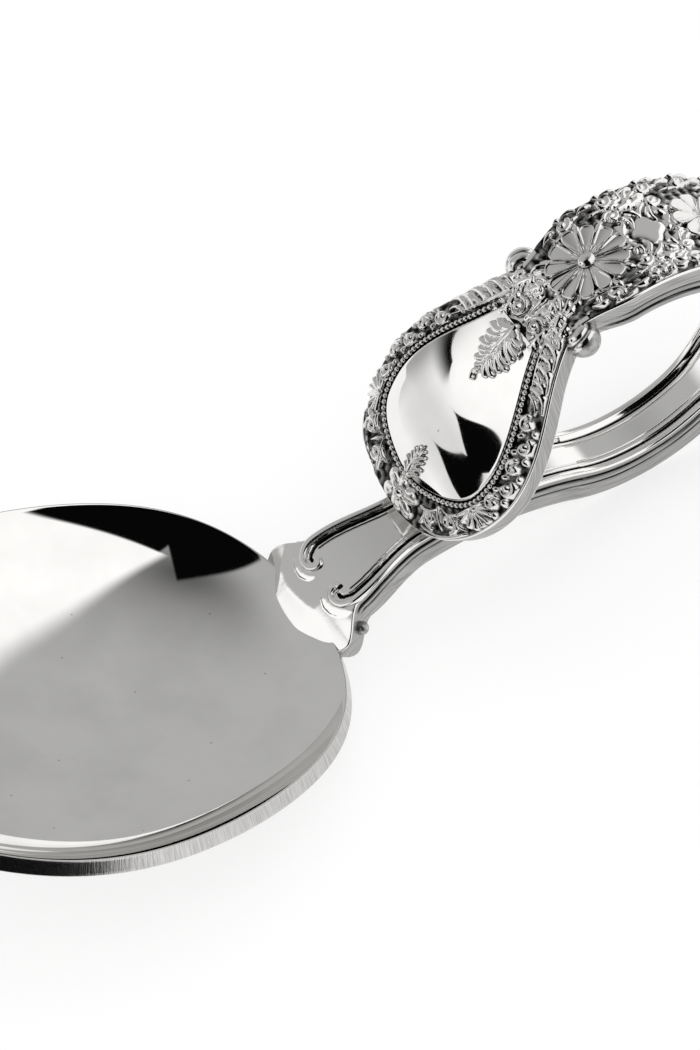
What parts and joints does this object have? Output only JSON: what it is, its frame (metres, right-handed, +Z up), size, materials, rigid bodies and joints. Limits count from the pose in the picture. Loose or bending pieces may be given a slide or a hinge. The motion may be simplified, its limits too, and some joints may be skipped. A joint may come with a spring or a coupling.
{
  "type": "baby spoon",
  "caption": "Silver baby spoon: an oval bowl on a short stem whose broad ornamented handle bends over into a finger loop and ends in a pear-shaped shield.",
  "frame": {"origin": "on the table, under the middle of the spoon's box, with the spoon lying at rest on its bowl and its loop", "axes": "+X from the bowl's tip towards the finger loop, +Y to the spoon's left, +Z up from the table"},
  "size_m": [0.072, 0.0306, 0.0232],
  "materials": {
    "mirror_silver": "mirror polish",
    "polished_silver": "polished, lightly worn",
    "struck_silver": "die-struck relief with darkened recesses"
  },
  "bodies": {
    "root": {"bowl": "mirror_silver", "shoulder": "polished_silver", "stem": "polished_silver", "loop": "polished_silver", "shield": "polished_silver", "left_waist_knop": "struck_silver", "right_waist_knop": "struck_silver", "shield_panel": "mirror_silver", "bead_row": "struck_silver", "left_leaf_border": "struck_silver", "right_leaf_border": "struck_silver", "left_toe_shell": "struck_silver", "right_toe_shell": "struck_silver", "left_toe_scroll": "struck_silver", "right_toe_scroll": "struck_silver", "toe_flower": "struck_silver", "toe_leaf": "struck_silver", "waist_leaf": "struck_silver", "left_volute": "struck_silver", "right_volute": "struck_silver", "rosette": "struck_silver", "rosette_boss": "struck_silver", "left_band_scroll": "struck_silver", "right_band_scroll": "struck_silver", "band_lozenge": "polished_silver", "small_flower": "struck_silver", "left_thread": "polished_silver", "right_thread": "polished_silver", "left_shoulder_ear": "struck_silver", "right_shoulder_ear": "struck_silver"}
  },
  "joints": []
}
